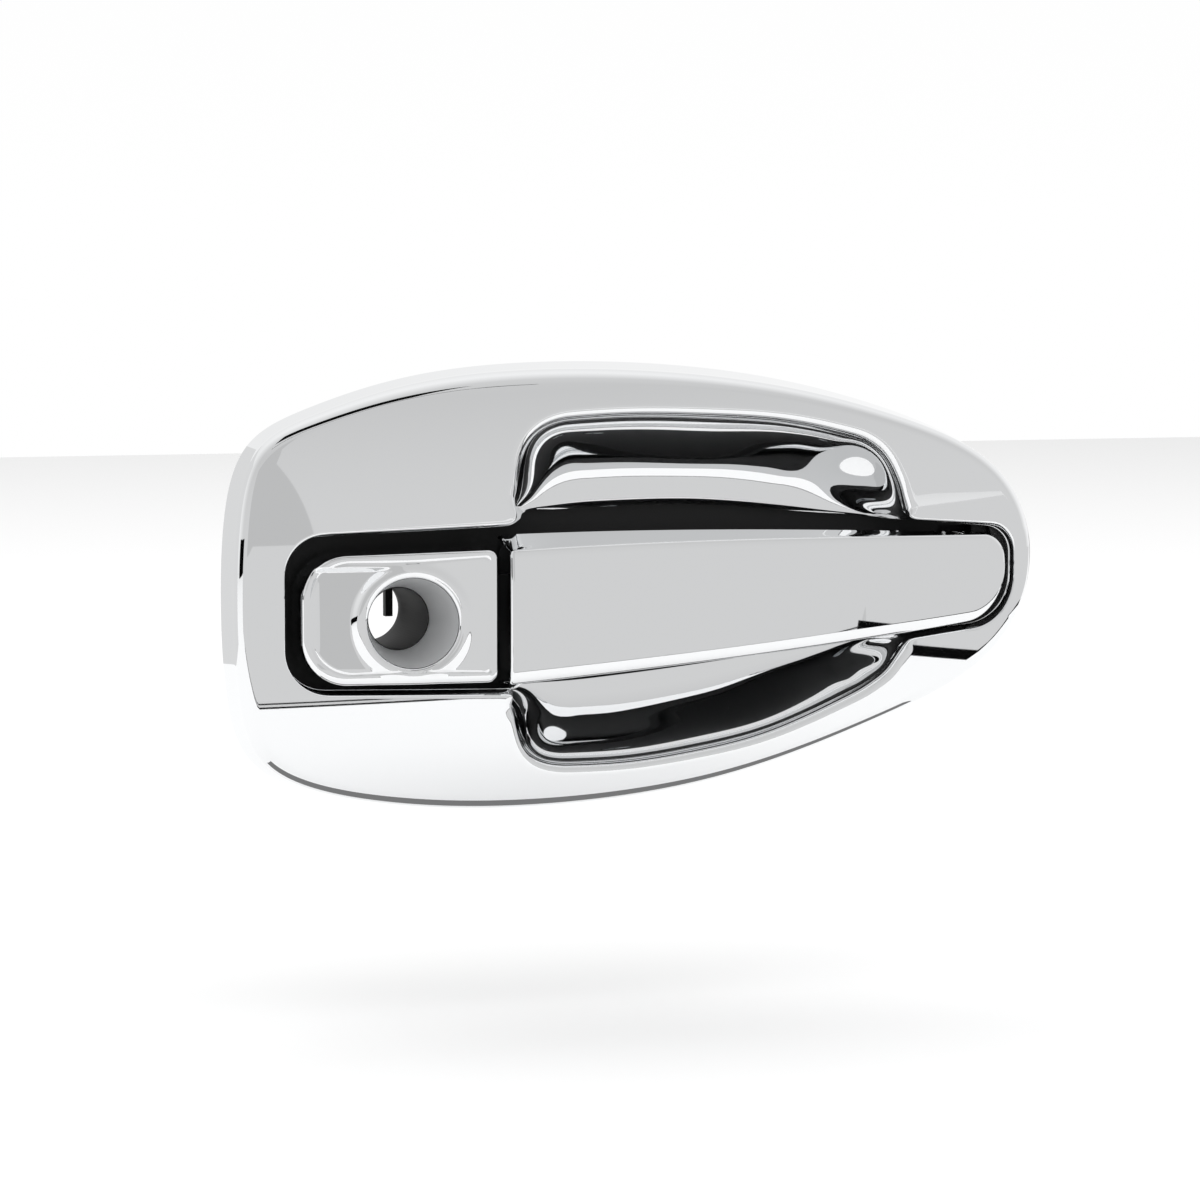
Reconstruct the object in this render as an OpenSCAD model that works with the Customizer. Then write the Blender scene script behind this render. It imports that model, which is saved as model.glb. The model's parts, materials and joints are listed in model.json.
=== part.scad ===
// Pull-strap door handle for a van or truck door: chromed surround with one large finger bowl,
// a chromed pull lever, a chromed lock plate, and the linkage that works the latch rod.
// Origin: lock axis at the outside face of the door skin. +X runs to the hinged, tapered end,
// -Y points away from the door, +Z is up. "Out" is a distance from the door skin along -Y.

/* [Surround] */
// Length of the surround, from its blunt end to its tip
surround_len = 252.5; // [208:0.5:310]
// Height of the surround
surround_h = 132; // [108:1:165]
// Lock axis, measured from the blunt end
lock_from_end = 51; // [45:1:60]
// Middle of the surround's height, above the lock axis
middle_rise = 8; // [4:1:12]
// Crown of the face, out from the door skin
crown_out = 23.5; // [20:0.5:28]
// Place of the crown, measured from the blunt end
crown_from_end = 121; // [100:1:140]
// Face at the blunt end, out from the door skin
blunt_out = 14; // [11:0.5:17]
// Face at the tip, out from the door skin
tip_out = 9; // [8:0.5:11]
// How far the face rolls off towards its long edges
edge_drop = 8; // [4:0.5:10]
// Radius of the shoulder between face and flank
shoulder_r = 4; // [3:0.5:5]
// Draft angle of the flank
flank_draft = 10; // [5:1:15]
// Wall of the surround
wall = 2.2; // [1.8:0.1:2.6]
// Gap between the surround's skirt and the door skin
skirt_gap = 0.5; // [0.3:0.1:1]

/* [Finger bowl] */
// Width of the face band above the bowl
band_top = 15.5; // [13:0.5:20]
// Width of the face band below the bowl
band_bottom = 14.5; // [12:0.5:18]
// Width of the face band between the bowl and the tip
band_tip = 45; // [40:1:52]
// Radius of the bowl's rolled rim
rim_r = 3.2; // [2.6:0.1:4]
// Floor of the scoops, out from the door skin
scoop_floor_out = 3.2; // [2.8:0.1:5]

/* [Slot] */
// Slot end to the surround's tip
slot_to_tip = 8.4; // [7.5:0.1:10]
// Depth of the plain slot's lip
lip_depth = 6; // [5:0.5:7]
// Radius of the plain slot's edge
lip_r = 0.8; // [0.6:0.1:1]

/* [Lock plate] */
// Plate, from the lock axis to its rounded end
plate_left = 31.5; // [28:0.5:36]
// Plate, from the lock axis to its square end
plate_right = 24.3; // [22:0.1:28]
// Plate, above the lock axis
plate_up = 20; // [19:0.5:22]
// Plate, below the lock axis
plate_down = 17.8; // [17.5:0.1:20]
// Corner radius of the rounded end
plate_corner = 13; // [8:0.5:15]
// Plate face below the lever's face
plate_set_back = 1; // [0:0.1:2]
// Radius of the lock bore, which takes an 18 mm lock barrel
lock_bore_r = 9; // [7:0.1:9.6]
// Radius of the plate's mouth round the lock
mouth_r = 13; // [12.5:0.1:13.5]
// Depth of the dished thumb rest beside the lock
dish_depth = 1.2; // [0.5:0.1:1.5]
// Gap round the plate
plate_gap = 3.2; // [2.5:0.1:4]

/* [Pull lever] */
// Lever crown, out from the door skin
lever_out = 33; // [30:0.5:36]
// Place of the lever's crown, measured from the blunt end
lever_crown_from_end = 131; // [115:1:145]
// Lever face at its free end, out from the door skin
lever_free_out = 29.7; // [27:0.1:32]
// Lever face at its hinged end, out from the door skin
lever_tip_out = 11.5; // [10.5:0.5:13]
// Lever, above the lock axis
lever_up = 20.6; // [19:0.1:22]
// Lever at its free end, below the lock axis
lever_down = 18.4; // [17.5:0.1:20]
// Lever at its hinged end, below the lock axis
lever_tip_down = 4; // [3:0.5:7]
// Depth of the lever's sides at its free end
lever_side = 14; // [11:0.5:15]
// Depth of the lever's sides at its hinged end
lever_tip_side = 5; // [4:0.5:5.2]
// Gap between plate and lever
lever_gap = 3.5; // [2.5:0.1:5]
// Gap between the lever and the slot's end
tip_gap = 3; // [2.8:0.1:4]
// Wall of the lever's shell
lever_wall = 2; // [1.6:0.1:2.4]

/* [Hinge and linkage] */
// Lever hinge, measured back from the surround's tip
hinge_from_tip = 24; // [23:0.5:27]
// Angle the lever swings out
lever_swing = 11; // [8:0.5:12]
// Radius of the hinge pin
hinge_pin_r = 2.5; // [2:0.1:3]
// Length of the crank's input arm
crank_arm = 31; // [27:0.5:34]
// Crank pivot, in from the door skin
crank_in = 20; // [19:0.5:24]
// Radius of the crank pin
crank_pin_r = 3; // [2.5:0.1:3.5]
// Length of the crank's output arm
output_arm = 24; // [18:0.5:28]

/* [Base] */
// Thickness of the base's flange
flange_t = 2; // [1.6:0.1:2.4]
// Thickness of the base's pan
pan_t = 3; // [2:0.1:4]
// Thickness of the foam gasket
gasket_t = 1.5; // [1:0.1:1.9]
// Width of the foam gasket
gasket_w = 5; // [4:0.5:6]
// Height between the two left mounting inserts
insert_spacing = 68; // [60:1:76]
// Radius of the thread in each insert, M6
insert_thread_r = 2.5; // [1.6:0.1:3]

/* [Hidden] */
$fn = 48;

running_gap = 0.05;      // a pin in its bush
thread_gap = 0.05;       // a screw in its pilot hole
seat_gap = 0.2;          // two pieces that seat on each other
free_gap = 0.6;          // two pieces that must not touch

// ---- overall places ----
end_x = -lock_from_end;
tip_x = surround_len - lock_from_end;
low_z = middle_rise - surround_h / 2;
high_z = middle_rise + surround_h / 2;

// ---- small helpers ----
function unit(v) = v / norm(v);
function mix(a, b, t) = a + (b - a) * t;
function clamp(v, a, b) = max(a, min(b, v));
function smooth(t) = let (u = clamp(t, 0, 1)) u * u * (3 - 2 * u);
function right_of(d) = [d.y, -d.x];
function column(rows, i) = [for (r = rows) r[i]];

// Closed uniform cubic B-spline through the control polygon c, m points to a span
function spline(c, m) = let (n = len(c)) [
    for (i = [0:n - 1], k = [0:m - 1])
        let (t = k / m, p = c[(i + n - 1) % n], q = c[i], r = c[(i + 1) % n], s = c[(i + 2) % n])
        (pow(1 - t, 3) * p + (3 * t * t * t - 6 * t * t + 4) * q
            + (3 * t + 3 * t * t - 3 * t * t * t + 1) * r + t * t * t * s) / 6
];

// Outline with rounded corners: corners are [x, z, radius], taken anticlockwise.
// Each result is [[x, z], outward normal]. A corner's arc is kept within half its sides.
function rounded(corners, step, turn_step) = let (n = len(corners)) [
    for (i = [0:n - 1])
        let (
            a = [corners[(i + n - 1) % n].x, corners[(i + n - 1) % n].y],
            p = [corners[i].x, corners[i].y],
            b = [corners[(i + 1) % n].x, corners[(i + 1) % n].y],
            r2 = corners[(i + 1) % n],
            c2 = corners[(i + 2) % n],
            c = [c2.x, c2.y],
            d1 = unit(p - a), d2 = unit(b - p), d3 = unit(c - b),
            turn = asin(clamp(d1.x * d2.y - d1.y * d2.x, -1, 1)),
            turn2 = asin(clamp(d2.x * d3.y - d2.y * d3.x, -1, 1)),
            big = d1 * d2 < 0 ? (turn < 0 ? -180 - turn : 180 - turn) : turn,
            big2 = d2 * d3 < 0 ? (turn2 < 0 ? -180 - turn2 : 180 - turn2) : turn2,
            cut = min(corners[i][2] * tan(abs(big) / 2), 0.48 * min(norm(p - a), norm(b - p))),
            cut2 = min(r2[2] * tan(abs(big2) / 2), 0.48 * min(norm(b - p), norm(c - b))),
            r = cut / tan(abs(big) / 2),
            side = big > 0 ? 1 : -1,
            centre = p - d1 * cut - side * r * right_of(d1),
            steps = max(1, ceil(abs(big) / turn_step)),
            start = p + d2 * cut, stop = b - d2 * cut2,
            parts = max(1, ceil(norm(stop - start) / step))
        )
        each concat(
            [for (k = [0:steps]) let (m = turned(right_of(d1), big * k / steps))
                [centre + side * r * m, m]],
            parts < 2 ? [] : [for (k = [1:parts - 1]) [mix(start, stop, k / parts), right_of(d2)]]
        )
];
function turned(v, a) = [v.x * cos(a) - v.y * sin(a), v.x * sin(a) + v.y * cos(a)];

// Furthest crossing of a ray with a closed outline: [point, normal that points away from the start]
function ray_hit(outline, from, dir) = let (
    n = len(outline),
    hits = [for (i = [0:n - 1])
        let (
            a = outline[i] - from, e = outline[(i + 1) % n] - outline[i],
            den = dir.x * e.y - dir.y * e.x,
            t = den == 0 ? -1 : (a.x * e.y - a.y * e.x) / den,
            s = den == 0 ? -1 : (a.x * dir.y - a.y * dir.x) / den
        )
        if (t > 0 && s >= 0 && s < 1) [t, right_of(unit(e))]],
    best = [for (h = hits) if (h[0] == max([for (g = hits) g[0]])) h][0]
) [from + dir * best[0], best[1] * (best[1] * dir > 0 ? 1 : -1)];

// Coefficients of drop = c2 u^2 + c3 u^3, which is dl at ul and dr at ur
function crown_terms(ul, dl, ur, dr) = let (c3 = (dr / ur / ur - dl / ul / ul) / (ur - ul))
    [dl / ul / ul - c3 * ul, c3];
function crown_drop(c, u) = c[0] * u * u + c[1] * u * u * u;

// ---- outer outline of the surround ----
// Control polygon on a sheet 250 long and 132 high, from the blunt end's lowest corner
outline_control = [
    [0, 63], [1, 92], [7, 111], [25, 119], [58, 130], [106, 133], [161, 129], [206, 117], [241, 102],
    [255, 73], [241, 38], [198, 21], [147, 3], [89, -2], [44, 1], [6, 11], [1, 37]
];
outline_raw = spline(outline_control, 8);
raw_low = [min(column(outline_raw, 0)), min(column(outline_raw, 1))];
raw_high = [max(column(outline_raw, 0)), max(column(outline_raw, 1))];
outline = [for (p = outline_raw) [
    end_x + (p.x - raw_low.x) * surround_len / (raw_high.x - raw_low.x),
    low_z + (p.y - raw_low.y) * surround_h / (raw_high.y - raw_low.y)
]];

// ---- face of the surround ----
crown_x = end_x + crown_from_end;
blunt_in = 5;            // where blunt_out is measured, in from the blunt end
tip_in = 9;              // where tip_out is measured, in from the tip
face_terms = crown_terms(end_x + blunt_in - crown_x, crown_out - blunt_out,
    tip_x - tip_in - crown_x, crown_out - tip_out);
ridge_blunt = 4;         // height of the face's ridge at the blunt end
ridge_tip = 15;          // height of the face's ridge at the tip
function ridge(x) = mix(ridge_blunt, ridge_tip, (x - end_x) / surround_len);
function face(p) = crown_out - crown_drop(face_terms, p.x - crown_x)
    - edge_drop * pow((p.y - ridge(p.x)) / (surround_h / 2 - 2), 4);

// ---- slot, and the opening that joins slot and bowl ----
slot_tip_up_r = 8;       // the slot's two corners at the tip
slot_tip_low_r = 16;
slot_clear = 2.4;        // slot edge below the lever, where the bowl begins
slot_clear_tip = 1.4;    // and at the tip
step_rise = 6.2;         // slot edge above the lever, where the bowl begins
slot_end = -plate_left - plate_gap;
slot_tip = tip_x - slot_to_tip;
step_x = plate_right + lever_gap + 4.6;  // where the bowl begins
bowl_tip = tip_x - band_tip;
slot_gap_up = 4.2;       // slot edge above the plate
slot_gap_down = 2;       // slot edge below the plate
shelf_rise = 3;          // slot's top edge steps up inside the bowl, to show the base's floor
slot_corners = [
    [slot_end, plate_up + slot_gap_up, plate_corner - 2],
    [slot_end, -plate_down - slot_gap_down, plate_corner - 1],
    [step_x, -lever_down - slot_clear, 60],
    [slot_tip, -lever_tip_down - slot_clear_tip, slot_tip_low_r],
    [slot_tip, lever_up + 1.8, slot_tip_up_r],
    [mix(step_x, bowl_tip, 0.47), lever_up + 8 + shelf_rise, 120],
    [step_x + 10, lever_up + 7 + shelf_rise, 12],
    [step_x - 1, lever_up + step_rise, 10]
];
slot = [for (p = rounded(slot_corners, 12, 12)) p[0]];
function slot_top(x) = mix(lever_up + 8 + shelf_rise, lever_up + 4.6,
    clamp((x - mix(step_x, bowl_tip, 0.3)) / (bowl_tip - mix(step_x, bowl_tip, 0.3)), 0, 1));
function slot_low(x) = -mix(lever_down + slot_clear, lever_tip_down + slot_clear_tip,
    (x - step_x) / (slot_tip - step_x));

rim_high = high_z - band_top;
rim_low = low_z + band_bottom;
bowl_up = [[0.925, 0.58, 20], [0.64, 0.9, 80], [0.32, 1.01, 60], [0, 0.97, 23]];
bowl_down = [[0, 1, 18], [0.29, 1, 80], [0.61, 0.8, 80], [0.925, 0.36, 16]];
function bowl_corner(c, up) = let (x = mix(step_x, bowl_tip, c[0]))
    [x, up ? mix(slot_top(x), rim_high, c[1]) : mix(slot_low(x), rim_low, c[1]), c[2]];
opening_corners = concat(
    [[slot_end - lip_r, plate_up + slot_gap_up + lip_r, plate_corner - 2 + lip_r],
     [slot_end - lip_r, -plate_down - slot_gap_down - lip_r, plate_corner - 1 + lip_r],
     [step_x, slot_low(step_x) - lip_r, 3]],
    [for (c = bowl_down) bowl_corner(c, false)],
    [[bowl_tip, slot_low(bowl_tip) - lip_r, 3],
     [slot_tip + lip_r, slot_low(slot_tip) - lip_r, slot_tip_low_r + lip_r],
     [slot_tip + lip_r, lever_up + 1.8 + lip_r, slot_tip_up_r + lip_r],
     [bowl_tip, slot_top(bowl_tip) + lip_r, 3]],
    [for (c = bowl_up) bowl_corner(c, true)],
    [[step_x, lever_up + step_rise + lip_r, 3]]
);
opening = rounded(opening_corners, 9, 24);
bowl_mid = [mix(step_x, bowl_tip, 0.34), middle_rise - 2];

// One column for each point of the opening:
// [opening point, normal, outer point, its normal, slot point, bowl share]
columns = [for (o = opening)
    let (
        dir = unit(o[0] - bowl_mid),
        b = ray_hit(outline, bowl_mid, dir),
        s = ray_hit(slot, bowl_mid, dir)[0],
        reach = (o[0] - s) * o[1]
    )
    [o[0], o[1], b[0], b[1], s, smooth((reach - lip_r) / 8)]
];

// ---- closed skins built from rings ----
// rings is a list of closed rings with the same number of [x, z, out] points. The skin closes on itself
// both ways round, so it bounds a ring-shaped solid.
module ring_skin(rings) {
    n = len(rings);
    m = len(rings[0]);
    points = [for (ring = rings, p = ring) [p.x, -p[2], p.y]];
    faces = [for (i = [0:n - 1], j = [0:m - 1])
        let (
            a = i * m + j, b = i * m + (j + 1) % m,
            c = ((i + 1) % n) * m + (j + 1) % m, d = ((i + 1) % n) * m + j
        )
        each [[a, c, b], [a, d, c]]
    ];
    polyhedron(points = points, faces = faces);
}
// Sections along a length, each a closed loop of [x, y, z] points, with flat ends
module section_skin(sections) {
    n = len(sections);
    m = len(sections[0]);
    sides = [for (i = [0:n - 2], j = [0:m - 1])
        let (
            a = i * m + j, b = i * m + (j + 1) % m,
            c = (i + 1) * m + (j + 1) % m, d = (i + 1) * m + j
        )
        each [[a, c, b], [a, d, c]]
    ];
    polyhedron(points = [for (s = sections, p = s) p], faces = concat(sides,
        [[for (j = [0:m - 1]) j]], [[for (j = [m - 1:-1:0]) (n - 1) * m + j]]));
}
module slab(from, to) translate([0, -from, 0]) rotate([90, 0, 0]) linear_extrude(to - from) children();
module rod_out(x, z, r, from, to) translate([x, -from, z]) rotate([90, 0, 0]) cylinder(r = r, h = to - from);
module rod_x(y, z, r, from, to) translate([from, y, z]) rotate([0, 90, 0]) cylinder(r = r, h = to - from);
module rod_z(x, y, r, from, to) translate([x, y, from]) cylinder(r = r, h = to - from);

// ---- surround ----
function face_point(p) = [p.x, p.y, face(p)];
// Shoulder radius and flank set-in, both smaller where the band between rim and edge is narrow
function shoulder_at(c) = min(shoulder_r, 0.45 * (norm(c[2] - c[0]) - rim_radius(c)));
function flank_in(c) = tan(flank_draft) * max(face(c[2]) - shoulder_at(c) - skirt_gap, 1);
function shoulder_point(c, f) = let (r = shoulder_at(c), p = c[2] - c[3] * (flank_in(c) + r * (1 - cos(f))))
    [p.x, p.y, face(p) - r * (1 - sin(f))];
function rim_radius(c) = mix(lip_r, rim_r, c[5]);
function rim_point(c, f) = let (r = rim_radius(c), p = c[0] + c[1] * r * (1 - sin(f)))
    [p.x, p.y, face(p) - r * (1 - cos(f))];
lip_floor = scoop_floor_out + 2.8;       // the plain lip never reaches deeper than this
function scoop_top(c) = face(c[0]) - rim_radius(c);
function scoop_foot(c) = mix(max(scoop_top(c) - lip_depth, min(lip_floor, scoop_top(c) - 1)),
    scoop_floor_out, c[5]);
function scoop_point(c, f) = let (p = mix(c[0], c[4], 1 - cos(f)))
    [p.x, p.y, mix(scoop_top(c), scoop_foot(c), sin(f))];
function scoop_back(c, f) = let (
        p = scoop_point(c, f), run = norm(c[0] - c[4]) * sin(f),
        fall = (scoop_top(c) - scoop_foot(c)) * cos(f), q = norm([run, fall]),
        out = c[1] * wall * fall / q
    )
    [p.x + out.x, p.y + out.y, p[2] - wall * run / q];
function inner_edge(c) = c[0] + c[1] * max(rim_radius(c), wall + 0.3);
function shoulder_edge(c) = c[2] - c[3] * (flank_in(c) + shoulder_at(c));
function face_mix(c, t) = let (p = mix(shoulder_edge(c), c[0] + c[1] * rim_radius(c), t)) face_point(p);
function face_back(c, t) = let (p = mix(shoulder_edge(c), inner_edge(c), t)) [p.x, p.y, face(p) - wall];

surround_rings = concat(
    [[for (c = columns) [c[2].x, c[2].y, skirt_gap]]],
    [for (f = [0, 30, 60, 90]) [for (c = columns) shoulder_point(c, f)]],
    [for (t = [0.2:0.2:0.8]) [for (c = columns) face_mix(c, t)]],
    [for (f = [0, 30, 60, 90]) [for (c = columns) rim_point(c, f)]],
    [for (f = [22.5:22.5:90]) [for (c = columns) scoop_point(c, f)]],
    [for (f = [90, 45, 0]) [for (c = columns) scoop_back(c, f)]],
    [for (t = [1, 0.5, 0]) [for (c = columns) face_back(c, t)]],
    [[for (c = columns) let (p = c[2] - c[3] * (flank_in(c) + wall))
        [p.x, p.y, face(p) - max(shoulder_at(c), wall + 0.4)]]],
    [[for (c = columns) let (p = c[2] - c[3] * wall) [p.x, p.y, skirt_gap]]]
);

// Posts inside the surround, for the screws that hold it to the base
post_places = [
    [end_x + 29, rim_high - 13], [step_x - 18, rim_high - 9],
    [step_x - 22, rim_low + 7], [tip_x - 22, lever_up + 13.2]
];
post_r = 4;
flange_out = gasket_t + flange_t;
module surround() {
    color("silver") {
        ring_skin(surround_rings);
        for (p = post_places)
            difference() {
                rod_out(p.x, p.y, post_r, flange_out + seat_gap, face(p) - wall / 2);
                rod_out(p.x, p.y, screw_r + thread_gap, 0, face(p) - wall - 1.5);
            }
    }
}

// ---- base ----
flange_clear = wall + tan(flank_draft) * flange_out + free_gap;
pan_clear = wall + free_gap;             // pan wall outside the bowl's wall
pan_edge = gasket_w + flange_clear + 1;  // the pan stays inside the gasket
pan_out = scoop_floor_out - wall - 0.4;  // pan floor, seen below the scoops
pan_in = pan_out - pan_t;
flange_shape = inset(outline, flange_clear);
pan_limit = inset(outline, pan_edge);
pan_limit_in = inset(outline, pan_edge + pan_t);
// Corners of an outline moved outwards by a distance, with their radii to match
function grown_corners(corners, by) = let (n = len(corners)) [
    for (i = [0:n - 1])
        let (
            a = corners[(i + n - 1) % n], p = corners[i], b = corners[(i + 1) % n],
            n1 = right_of(unit([p.x - a.x, p.y - a.y])), n2 = right_of(unit([b.x - p.x, b.y - p.y])),
            shift = by * (n1 + n2) / (1 + n1 * n2),
            convex = n1.x * n2.y - n1.y * n2.x > 0
        )
        [p.x + shift.x, p.y + shift.y, convex ? p[2] + by : max(p[2] - by, 0.5)]
];
function grown(by) = [for (o = rounded(grown_corners(opening_corners, by), 60, 18)) o[0]];
// Outline moved inwards by a distance, along its own normals; outline runs clockwise
function inset(points, by) = let (n = len(points)) [
    for (i = [0:n - 1])
        points[i] + by * right_of(unit(points[(i + 1) % n] - points[(i + n - 1) % n]))
];

hinge_x = tip_x - hinge_from_tip;
hinge_z = 10;            // middle of the hinge knuckle
knuckle_h = 12;
knuckle_r = 5;
ear_t = 3;
pin_space = 3.4;         // room for the pin's head and clip beyond the ears
pocket_wall = 2;
pocket_in = knuckle_r + free_gap;
pocket_half = knuckle_h / 2 + free_gap + ear_t + pin_space;

leg_x = step_x + 14;     // where the pull leg crosses the door skin
leg_r = hinge_x - leg_x; // its distance from the hinge axis
leg_w = 8;
leg_low = 0;
leg_h = 12;

crank_x = leg_x + 3;     // middle of the crank, across the leg's path
tip_pin_r = 3.5;
// The crank turns just enough for its pin to stay on the hook through the lever's swing
pull_angle = 11;         // mean angle of the hook, seen from the hinge
crank_lean = asin((leg_r - leg_w / 2) * cos(pull_angle) * sin(lever_swing / 2) / crank_arm);
pin_below_leg = tip_pin_r + crank_arm * (1 - cos(crank_lean)) + free_gap;
crank_z = leg_low - pin_below_leg - crank_arm * cos(crank_lean);
crank_tip = [crank_in + crank_arm * sin(crank_lean), crank_z + crank_arm * cos(crank_lean)];
hub_w = 14;
spring_w = 10;
ear_low_x = crank_x - hub_w / 2 - free_gap;
ear_high_x = crank_x + hub_w / 2 + spring_w + free_gap;
ear_w = 4;
ear_r = 7;

insert_r = 4.5;
insert_len = 8;
insert_in = 9;           // how far in from the door skin the inserts end
boss_r = 6.5;
left_insert_x = end_x + 21;
insert_mid_z = middle_rise - 4;
insert_places = [
    [left_insert_x, insert_mid_z + insert_spacing / 2],
    [left_insert_x, insert_mid_z - insert_spacing / 2],
    [tip_x - 34, lever_up + 13.5]
];

tube_r = lock_bore_r + 2.4;
tube_in = 26;
carrier_screw_places = [[-plate_left + 8, 1], [plate_right - 5.3, plate_up - 7]];
screw_r = 1.7;
head_r = 3.1;
head_t = 2;

module pan_area(by, limit) {
    intersection() {
        slab(-30, 30) polygon(grown(by));
        slab(-30, 30) polygon(limit);
    }
}
module leg_arc(from_r, to_r, from_a, to_a, low, high) {
    translate([hinge_x, 0, low])
        rotate([0, 0, 180 - to_a])
            rotate_extrude(angle = to_a - from_a)
                translate([from_r, 0]) square([to_r - from_r, high - low]);
}
module base_housing() {
    color([0.11, 0.11, 0.12]) difference() {
        union() {
            // flange, and the pan set into the door behind bowl and slot
            difference() {
                slab(gasket_t, flange_out) polygon(flange_shape);
                intersection() {
                    pan_area(pan_clear, pan_limit_in);
                    translate([end_x, -10, low_z]) cube([surround_len, 20, surround_h]);
                }
            }
            intersection() {
                pan_area(pan_clear + pan_t, pan_limit);
                translate([end_x, -flange_out, low_z]) cube([surround_len, flange_out - pan_in, surround_h]);
            }
            // hinge pocket
            translate([hinge_x - pocket_in - pocket_wall, -pan_out, hinge_z - pocket_half - pocket_wall])
                cube([2 * (pocket_in + pocket_wall), pan_out + pocket_in + pocket_wall,
                    2 * (pocket_half + pocket_wall)]);
            // ears for the crank pin
            for (x = [ear_low_x - ear_w, ear_high_x]) {
                translate([x, -pan_in - 0.5, crank_z - ear_r])
                    cube([ear_w, crank_in + pan_in + 0.5, 2 * ear_r]);
                rod_x(crank_in, crank_z, ear_r, x, x + ear_w);
            }
            for (p = insert_places) rod_out(p.x, p.y, boss_r, -insert_in, flange_out);
            for (p = carrier_screw_places) rod_out(p.x, p.y, head_r + 1.5, pan_in - 1.5, pan_out);
        }
        // inside of the pan
        intersection() {
            pan_area(pan_clear, pan_limit_in);
            translate([end_x, -10, low_z]) cube([surround_len, 10 - pan_out, surround_h]);
        }
        // hinge pocket, open to the lever, with the pin's two ears left standing in it
        difference() {
            translate([hinge_x - pocket_in, -10, hinge_z - pocket_half])
                cube([2 * pocket_in, 10 + pocket_in, 2 * pocket_half]);
            for (z = [-knuckle_h / 2 - free_gap - ear_t, knuckle_h / 2 + free_gap])
                translate([hinge_x - knuckle_r, -knuckle_r, hinge_z + z])
                    cube([2 * knuckle_r, 2 * knuckle_r + 1, ear_t]);
        }
        rod_z(hinge_x, 0, hinge_pin_r, hinge_z - pocket_half + 0.1, hinge_z + pocket_half - 0.1);
        // pull leg's slot
        leg_arc(leg_r - leg_w / 2 - free_gap, leg_r + leg_w / 2 + free_gap, -8, 8,
            leg_low - free_gap, leg_low + leg_h + free_gap);
        rod_x(crank_in, crank_z, crank_pin_r, ear_low_x - 10, ear_high_x + 10);
        rod_out(0, 0, tube_r + free_gap, -20, 10);
        for (p = insert_places) rod_out(p.x, p.y, insert_r, -insert_in - 1, -insert_in + insert_len);
        for (p = post_places) rod_out(p.x, p.y, screw_r + free_gap / 2, -5, 5);
        for (p = carrier_screw_places) rod_out(p.x, p.y, screw_r + free_gap / 2, -20, 5);
    }
}

module perimeter_gasket() {
    color([0.16, 0.16, 0.17]) difference() {
        slab(0, gasket_t - 0.02) polygon(inset(outline, flange_clear));
        slab(-1, gasket_t + 1) polygon(inset(outline, flange_clear + gasket_w));
    }
}

module mounting_inserts() {
    color("goldenrod") for (p = insert_places) difference() {
        rod_out(p.x, p.y, insert_r - 0.02, -insert_in, -insert_in + insert_len - 0.05);
        rod_out(p.x, p.y, insert_thread_r, -insert_in - 1, -insert_in + insert_len + 1);
    }
}

// Pan-head screw driven outwards: head seated at "seat", tip at "tip", both out from the door skin
module screw_out(p, seat, tip) {
    difference() {
        union() {
            rod_out(p.x, p.y, head_r, seat - head_t, seat);
            rod_out(p.x, p.y, screw_r, seat - 0.1, tip);
        }
        translate([p.x, -seat + head_t, p.y]) for (a = [0, 90])
            rotate([0, a, 0]) cube([3.6, 2.2, 0.8], center = true);
    }
}
module surround_screws() {
    color("dimgray") for (p = post_places) screw_out(p, gasket_t - 0.02, face(p) - wall - 2.5);
}
module carrier_screws() {
    color("dimgray") for (p = carrier_screw_places) screw_out(p, pan_in - 1.52, pan_out + 10);
}

// ---- lever ----
lever_crown_x = end_x + lever_crown_from_end;
lever_x0 = plate_right + lever_gap;
lever_x1 = slot_tip - tip_gap;
lever_terms = crown_terms(lever_x0 - lever_crown_x, lever_out - lever_free_out,
    lever_x1 - lever_crown_x, lever_out - lever_tip_out);
lever_len = lever_x1 - lever_x0;
function strap(x) = lever_out - crown_drop(lever_terms, x - lever_crown_x);
function along(x) = clamp((x - lever_x0) / lever_len, 0, 1);
function side_depth(x) = mix(lever_side, lever_tip_side, along(x));
lever_belly = 2;         // the top edge arches by this in the middle
function lever_top(x) = lever_up + lever_belly * sin(180 * pow(along(x), 0.85));
function lever_low(x) = -mix(lever_down, lever_tip_down, along(x));
// Rounding of the lever's two ends, as seen from the front
function end_cut(x, r) = let (d = min(x - lever_x0, lever_x1 - x))
    d >= r ? 0 : r - sqrt(max(0, r * r - (r - d) * (r - d)));
function tip_cut(x, r) = let (d = lever_x1 - x) d >= r ? 0 : r - sqrt(max(0, r * r - (r - d) * (r - d)));
top_edge_r = 0.9;
low_bevel = 2.4;
low_bevel_drop = 1.8;
flare_up = 3.6;          // the top side leans out to this at the free end
flare_down = 0.8;
lever_camber = 0.5;
tip_up_r = 8;            // the lever's two corners at the tip
tip_low_r = 14;
function lever_section(x) = let (
        cut = end_cut(x, 1.2),
        h = strap(x) - cut,
        top = lever_top(x) - cut - tip_cut(x, tip_up_r),
        low = lever_low(x) + cut + tip_cut(x, tip_low_r),
        back = strap(x) - side_depth(x),
        up = mix(flare_up, 0.3, along(x)), down = mix(flare_down, 0.2, along(x)),
        mid = (top + low) / 2, half = (top - low) / 2
    )
    concat(
        [[low - down, back], [low - down / 2, mix(h, back, 0.5)]],
        [for (f = [0, 30, 60])
            [low + low_bevel * (1 - cos(f)), h - lever_camber - low_bevel_drop * (1 - sin(f))]],
        [for (t = [0:0.2:1]) let (z = mix(low + low_bevel, top - top_edge_r, t))
            [z, h - lever_camber * pow((z - mid) / half, 2)]],
        [for (f = [45, 90]) [top - top_edge_r * (1 - sin(f)), h - lever_camber - top_edge_r * (1 - cos(f))]],
        [[top + up / 2, mix(h, back, 0.5)], [top + up, back]]
    );
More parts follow.
